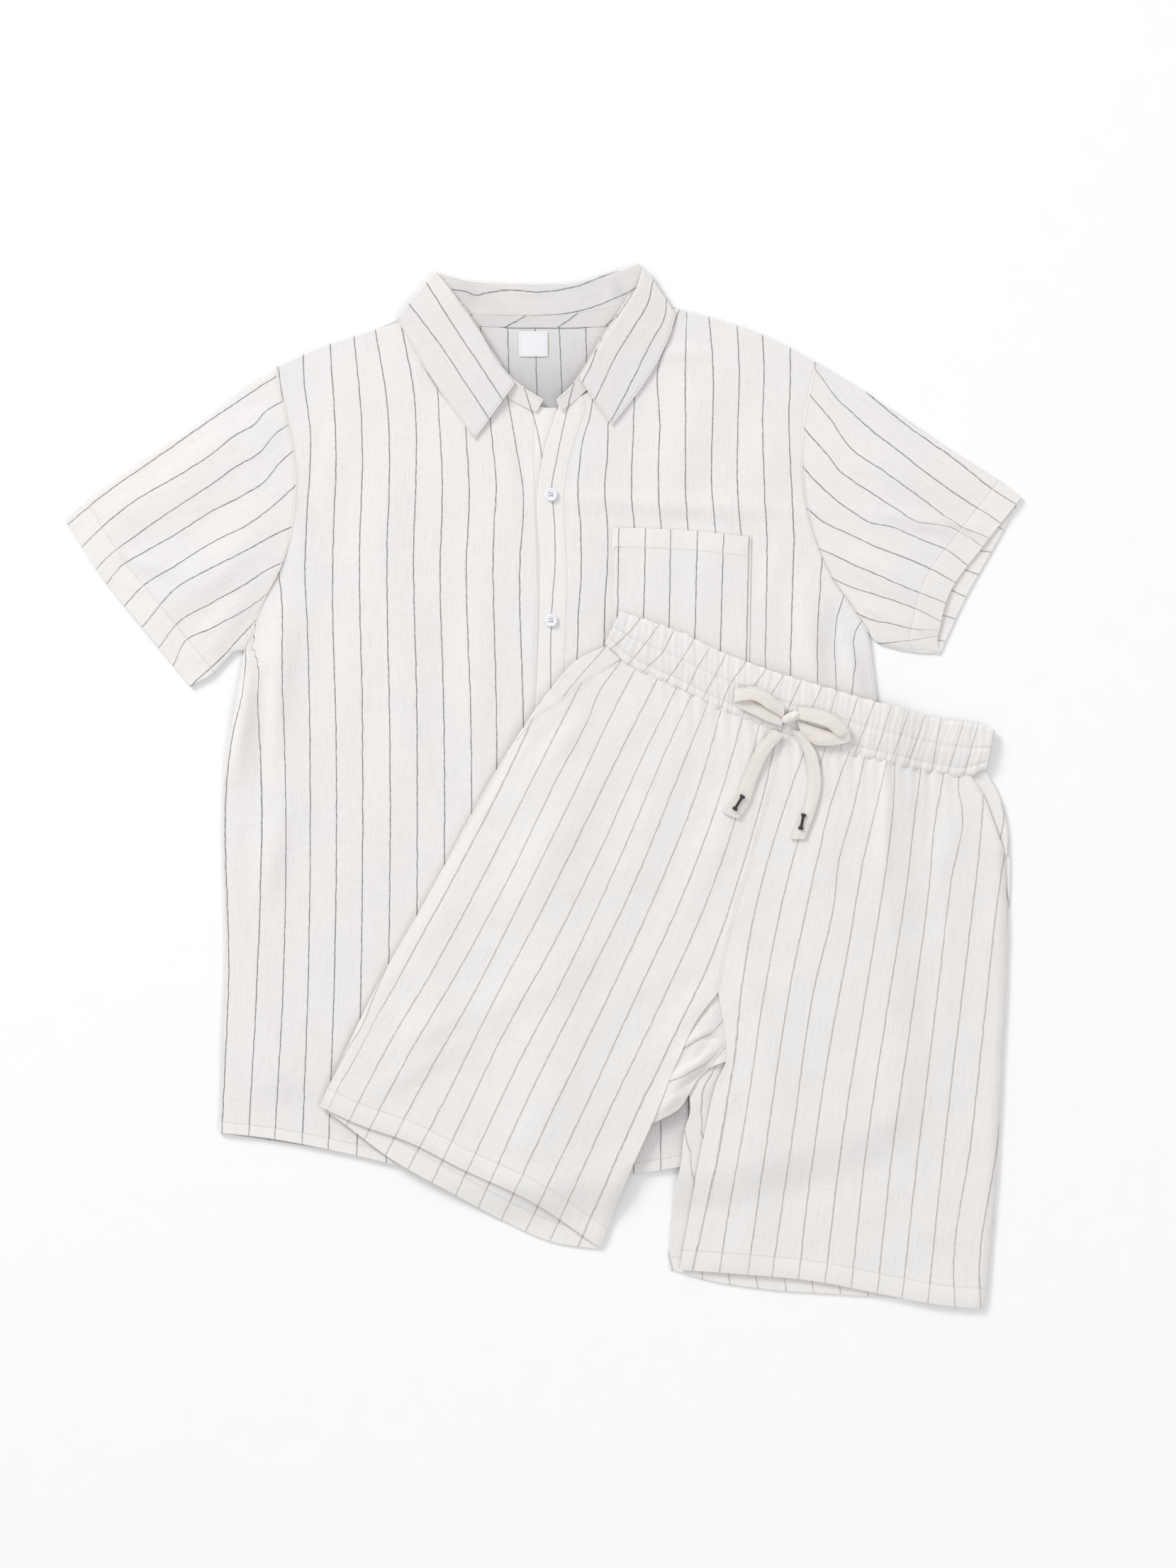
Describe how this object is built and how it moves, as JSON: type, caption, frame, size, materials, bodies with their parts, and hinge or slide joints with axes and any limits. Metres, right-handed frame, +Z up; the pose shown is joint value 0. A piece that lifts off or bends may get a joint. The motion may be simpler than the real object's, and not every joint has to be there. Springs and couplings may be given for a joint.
{
  "type": "shirt and shorts set",
  "caption": "Pinstripe shirt and shorts set laid flat: short-sleeved button shirt with a chest pocket, and drawstring shorts lying over its lower right.",
  "frame": {"origin": "centre of the bounding box's underside, on the surface that the set lies on", "axes": "+Z up from the surface, +Y towards the collar (the top of the picture), +X towards the wearer's left sleeve (the right of the picture)"},
  "size_m": [0.8376, 0.9139, 0.0208],
  "materials": {
    "shirt_cloth": "matt off-white plain weave with thin dark blue-grey stripes",
    "shorts_cloth": "matt off-white plain weave with soft grey-brown stripes",
    "tape_cloth": "matt cream woven tape",
    "label_cloth": "smooth white satin tape, bare",
    "bar_thread": "black thread",
    "button_resin": "clear, faintly blue resin, polished"
  },
  "bodies": {
    "root": {"shirt_back": "shirt_cloth", "shirt_front_right": "shirt_cloth", "shirt_front_left": "shirt_cloth", "sleeve_right": "shirt_cloth", "sleeve_left": "shirt_cloth", "collar_stand_right": "shirt_cloth", "collar_stand_back": "shirt_cloth", "collar_stand_left": "shirt_cloth", "collar_fall_right": "shirt_cloth", "collar_fall_back": "shirt_cloth", "collar_fall_left": "shirt_cloth", "chest_pocket": "shirt_cloth", "neck_label": "label_cloth", "button_1": "button_resin", "button_2": "button_resin", "button_3": "button_resin", "button_4": "button_resin", "button_5": "button_resin", "shorts_back_right": "shorts_cloth", "shorts_back_left": "shorts_cloth", "shorts_front_right": "shorts_cloth", "shorts_front_left": "shorts_cloth", "waistband_back": "shorts_cloth", "waistband_front": "shorts_cloth", "pocket_facing_right": "shorts_cloth", "pocket_facing_left": "shorts_cloth", "drawstring_loop_right": "tape_cloth", "drawstring_loop_left": "tape_cloth", "drawstring_tail_right": "tape_cloth", "drawstring_tail_left": "tape_cloth", "drawstring_knot": "tape_cloth", "thread_bar_right": "bar_thread", "thread_bar_left": "bar_thread"}
  },
  "joints": []
}
